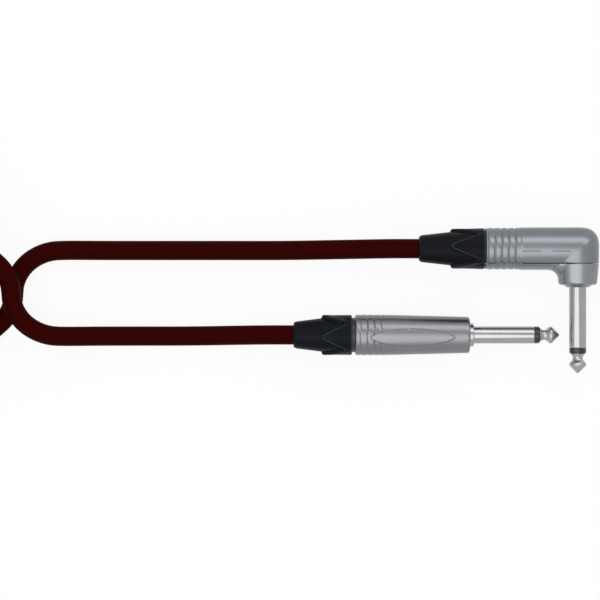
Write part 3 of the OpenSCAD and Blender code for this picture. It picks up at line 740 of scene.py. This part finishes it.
def add_floor():
    """A white floor that the camera and reflections see as plain white, with the object's shadow."""
    bpy.ops.mesh.primitive_plane_add(size=6)
    floor = bpy.context.object
    floor.name = "floor"
    s = Shader("floor", Roughness=0.9)
    s.set("Base Color", colour(0.85, 0.85, 0.85))
    glow = s.add("ShaderNodeEmission", {}, {"Color": colour(1, 1, 1), "Strength": 1.0})
    mixed = s.add("ShaderNodeMixShader", {}, {0: seen_straight(s) * 0.9, 1: Val(s, s.principled.outputs[0]), 2: glow})
    s.join(mixed, s.tree.nodes["Material Output"].inputs["Surface"])
    floor.data.materials.append(s.material)


def add_lamp(name, place, target, size, power):
    """A plain soft lamp, which the metal shows too."""
    data = bpy.data.lights.new(name, "AREA")
    data.shape = "RECTANGLE"
    data.size, data.size_y = size
    data.energy = power
    lamp = bpy.data.objects.new(name, data)
    lamp.location = place
    lamp.rotation_euler = (Vector(target) - Vector(place)).to_track_quat("-Z", "Y").to_euler()
    bpy.context.scene.collection.objects.link(lamp)


def add_light():
    """Even soft light from above. Gloss sees a white room."""
    world = bpy.data.worlds.new("studio")
    bpy.context.scene.world = world
    s = Shader("studio", world)
    sky = s.mix(seen_straight(s), colour(0.6, 0.61, 0.63), colour(1, 1, 1))
    s.join(sky, s.tree.nodes["Background"].inputs["Color"])
    middle = (-0.02, 0.0, 0.0)
    add_lamp("overhead_softbox", (-0.25, -0.25, 0.9), middle, (1.2, 1.0), 5.5)
    add_lamp("back_softbox", (0.3, 0.7, 0.7), middle, (1.2, 0.5), 3)


# ---- Cord ----

RINGS_PER_LOOP = 48
LOOPS_PER_LAYER = 2
LAYERS = 4
LOOPS = LOOPS_PER_LAYER * LAYERS
ARC_RINGS = 16
RUN_RINGS = RINGS_PER_LOOP // 2 - ARC_RINGS
HANK_X, HANK_Y = -202.0, 2.6
HANK_R = 30.5
HANK_RUN = 98.5
LOOP_PITCH = 8.1
LAYER_PITCH = 7.7
WAIST = 2.0
TIE_LIFT = 1.8
BEND_X = -142.9                     # where the round bend starts
BEND_LEN = 17.6
BEND_W = 15.9                       # half the distance between the runs
AWAY_R = 15.0                       # turn from the bend's end out to the hank
AWAY_BY = 50

ANGLE_RUN = [(-38, 18.8, 6.6), (-60, 18.5, 4.4), (-80, 18.5, 3.6), (-102, 18.5, 3.6), (-124, 18.5, 3.6)]
STRAIGHT_RUN = [(-128, -13.3, 5.9), (-113, -13.3, 4.2), (-100, -13.3, 3.7), (-89, -13.2, 3.9), (-78, -13, 5.1)]
LEAD_Z = [26.7, 26.5, 25.4, 23.3, 20.2, 18.2, 16.2, 15, 13.8, 12.9, 12.1, 11.4, 11.2, 11.1, 11,
          10.8, 10.4, 9.9, 9.4, 8.9, 8.4]


def loop_point(i):
    """The hank's centreline at step i: loops round a flat oval, spiralling in and out."""
    j = i % RINGS_PER_LOOP
    cycle = i / RINGS_PER_LOOP % (2 * LOOPS_PER_LAYER)
    drawn = min(cycle, 2 * LOOPS_PER_LAYER - cycle)
    turn = RINGS_PER_LOOP * LOOPS_PER_LAYER
    k = math.floor(i / turn + 0.5)
    layer = k - 1 + min(1, max(0, (i - k * turn) / RUN_RINGS))
    layer = 0 if i < turn / 2 else LAYERS - 1 if i > turn * (LAYERS - 0.5) else layer
    along = j / RUN_RINGS if j <= RUN_RINGS else (j - RUN_RINGS - ARC_RINGS) / RUN_RINGS
    at_tie = min(1.0, 4 * min(along, 1 - along)) if 0 < along < 1 else 0.0
    r = HANK_R - LOOP_PITCH * drawn - WAIST * at_tie
    z = CORD_D / 2 + LAYER_PITCH * layer + TIE_LIFT * at_tie
    far = HANK_X - HANK_RUN
    if j <= RUN_RINGS:
        return (HANK_X - HANK_RUN * along, HANK_Y - r, z)
    if j <= RUN_RINGS + ARC_RINGS:
        a = math.radians(270 - 180 * (j - RUN_RINGS) / ARC_RINGS)
        return (far + r * math.cos(a), HANK_Y + r * math.sin(a), z)
    if j <= RINGS_PER_LOOP - ARC_RINGS:
        return (far + HANK_RUN * along, HANK_Y + r, z)
    a = math.radians(90 - 180 * (j - RINGS_PER_LOOP + ARC_RINGS) / ARC_RINGS)
    return (HANK_X + r * math.cos(a), HANK_Y + r * math.sin(a), z)


def lead_plan(end_y):
    """From the round bend's start past its end to the hank: (x, out from the middle line)."""
    turn_x = BEND_X - BEND_LEN - AWAY_R
    by = math.radians(AWAY_BY)
    s, c = math.cos(by), math.sin(by)
    x, y = turn_x + AWAY_R * math.cos(by), AWAY_R * math.sin(by)
    join_r = ((x - HANK_X) * s - (end_y - y) * c) / (1 - c)
    straight = (end_y - y - join_r * (1 - c)) / s
    plan = [(BEND_X - BEND_LEN * math.sin(math.radians(a)), -BEND_W * math.cos(math.radians(a)))
            for a in range(0, 91, 10)]
    plan += [(turn_x + AWAY_R * math.cos(math.radians(a)), AWAY_R * math.sin(math.radians(a)))
             for a in range(10, AWAY_BY + 1, 10)]
    plan += [(x - part * straight * c, y + part * straight * s) for part in (0.5, 1)]
    for k in range(1, 5):
        a = math.radians(90 - AWAY_BY) * (1 - k / 4)
        plan.append((x - straight * c - join_r * (s - math.sin(a)),
                     y + straight * s + join_r * (math.cos(a) - c)))
    return plan


def smooth_run(points, steps=5):
    """Catmull-Rom points through the route's own."""
    points = [Vector(p) for p in points]
    padded = [2 * points[0] - points[1], *points, 2 * points[-1] - points[-2]]
    made = []
    for a, b, c, d in zip(padded, padded[1:], padded[2:], padded[3:]):
        span = [(q - p).length ** 0.5 for p, q in ((a, b), (b, c), (c, d))]
        t = [0, span[0], span[0] + span[1], sum(span)]
        for k in range(steps):
            x = t[1] + (t[2] - t[1]) * k / steps
            p = [((t[j + 1] - x) * q + (x - t[j]) * r) / (t[j + 1] - t[j])
                 for j, (q, r) in enumerate(((a, b), (b, c), (c, d)))]
            m = [((t[j + 2] - x) * p[j] + (x - t[j]) * p[j + 1]) / (t[j + 2] - t[j]) for j in (0, 1)]
            made.append(((t[2] - x) * m[0] + (x - t[1]) * m[1]) / (t[2] - t[1]))
    return [*made, points[-1]]


def make_cord():
    """The whole cord as one curve, from the angle plug through the hank to the straight plug."""
    hank = [Vector(loop_point(i)) for i in range(RINGS_PER_LOOP * LOOPS - ARC_RINGS + 1)]
    from_angle = [(ANGLE_X, ANGLE_Y, ANGLE_Z), (ANGLE_X - 10, ANGLE_Y, ANGLE_Z), *ANGLE_RUN]
    from_angle += [(x, HANK_Y - y, CORD_D / 2) for x, y in lead_plan(HANK_R)]
    upper_lead = reversed(lead_plan(hank[-1].y - HANK_Y))
    to_straight = [(x, HANK_Y + y, z) for (x, y), z in zip(upper_lead, LEAD_Z)]
    to_straight += [*STRAIGHT_RUN, (STRAIGHT_X - 10, STRAIGHT_Y, STRAIGHT_Z),
                    (STRAIGHT_X, STRAIGHT_Y, STRAIGHT_Z)]
    route = smooth_run(from_angle)[:-1] + hank + smooth_run(to_straight)[1:]
    data = bpy.data.curves.new("cord", "CURVE")
    data.dimensions = "3D"
    data.bevel_depth = CORD_D / 2 * MM
    data.bevel_resolution = 8
    data.use_fill_caps = True
    spline = data.splines.new("POLY")
    spline.points.add(len(route) - 1)
    for point, place in zip(spline.points, route):
        point.co = (*(c * MM for c in place), 1)
    spline.use_smooth = True
    cord = bpy.data.objects.new("cord", data)
    bpy.context.scene.collection.objects.link(cord)
    data.materials.append(cord_jacket())
    length = sum((b - a).length for a, b in zip(route, route[1:]))
    print(f"cord length {length:.1f} mm")
    return cord


# ---- Build ----

set_camera()
add_floor()
add_light()

cord = make_cord()
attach(cord, "cable")
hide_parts("cord_run_straight", "cord_run_angle", "cord_hank")

boot_rubber = moulded_rubber("boot_rubber", (0.002, 0.0026, 0.004))
shell_nickel = satin_nickel("shell_nickel", (0.19, 0.195, 0.205), 0.3, (1, 6, 6), 0.53)
housing_nickel = satin_nickel("housing_nickel", (0.19, 0.2, 0.215), 0.3, (1, 6, 6), 0.6)
base_nickel = satin_nickel("base_nickel", (0.22, 0.23, 0.245), 0.3, (1, 6, 6), 0.6)

# painted shade: a near-black finish for the strips that stand in for the shade in the housing's engraved lines
groove_shade_paint = hard_plastic("groove_shade_paint", (0.02, 0.022, 0.026), 0.5)
straight_boot = make_boot("straight_boot_detail", on_straight, 21.6, 10.4, math.radians(96), 7.3, 7.42)
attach(straight_boot, "straight_nut")
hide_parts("straight_boot")
angle_boot = make_boot("angle_boot_detail", on_angle, 24.1, 11.6, math.radians(83), 7.2, 7.6)
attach(angle_boot, "angle_nut")
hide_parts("angle_boot")
shell = make_straight_shell()
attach(shell, "cable")
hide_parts("straight_shell")
for name, side, material, slot in (("angle_housing", 1, housing_nickel, "shell_metal"),
                                   ("angle_base", -1, base_nickel, "base_metal")):
    half = make_housing(name + "_detail", side, material)
    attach(half, "cable")
    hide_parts(name)
lines = make_lines("angle_lines_detail")
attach(lines, "cable")
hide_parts("angle_housing")

contact_metal = polished_nickel("contact_metal", (8, 1, 1))
ring_plastic = hard_plastic("ring_plastic", (0.008, 0.008, 0.009), 0.25)
webbing = woven_strap()
tie_thread = hard_plastic("tie_thread", (0.05, 0.05, 0.052), 0.7)
for plug, place, flange_at in (("straight", on_straight_finger, -8.6), ("angle", on_angle_finger, -5.7)):
    for part, piece in (("sleeve", make_sleeve(plug + "_sleeve_detail", place, flange_at, plug == "straight")),
                        ("ring", make_ring(plug + "_ring_detail", place)),
                        ("tip", make_tip(plug + "_tip_detail", place, flange_at))):
        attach(piece, "cable")
        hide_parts(f"{plug}_{part}")
tie = make_tie()
for piece in tie:
    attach(piece, "cable")
    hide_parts("hank_tie")
ANGLE_X * MM
ANGLE_Y * MM
ANGLE_Z * MM

CAD_FINISH = {
    "boot_rubber": boot_rubber, "contact_metal": contact_metal, "ring_plastic": ring_plastic,
    "shell_metal": shell_nickel, "base_metal": base_nickel, "tie": webbing,
    "cord_jacket": cord.data.materials[0],
    "gland_plastic": hard_plastic("gland_plastic", (0.008, 0.0085, 0.01), 0.4),
    "chuck_plastic": hard_plastic("chuck_plastic", (0.75, 0.74, 0.7), 0.45),
    "core_plastic": hard_plastic("core_plastic", (0.8, 0.79, 0.76), 0.5),
    "liner_plastic": hard_plastic("liner_plastic", (0.02, 0.02, 0.02), 0.5),
    "insulator_plastic": hard_plastic("insulator_plastic", (0.68, 0.67, 0.62), 0.5),
    "braid": bare_metal("braid", (0.72, 0.4, 0.25), 0.4, 900),
    "wire": bare_metal("wire", (0.72, 0.4, 0.25), 0.35, 1500),
    "lug_metal": bare_metal("lug_metal", (0.6, 0.6, 0.62), 0.35, 600),
    "solder": bare_metal("solder", (0.62, 0.62, 0.64), 0.25, 250),
}
slots = {part["node"]: part["material_slot"] for part in frame["record"]["subparts"]}
for name in frame["nodes"]:
    node = bpy.data.objects.get(name)
    if node is not None and node.type == "MESH":
        for k in range(max(1, len(node.material_slots))):
            if not node.material_slots:
                node.data.materials.append(CAD_FINISH[slots[name]])
            node.material_slots[k].material = CAD_FINISH[slots[name]]

bpy.context.scene.view_settings.view_transform = "Standard"
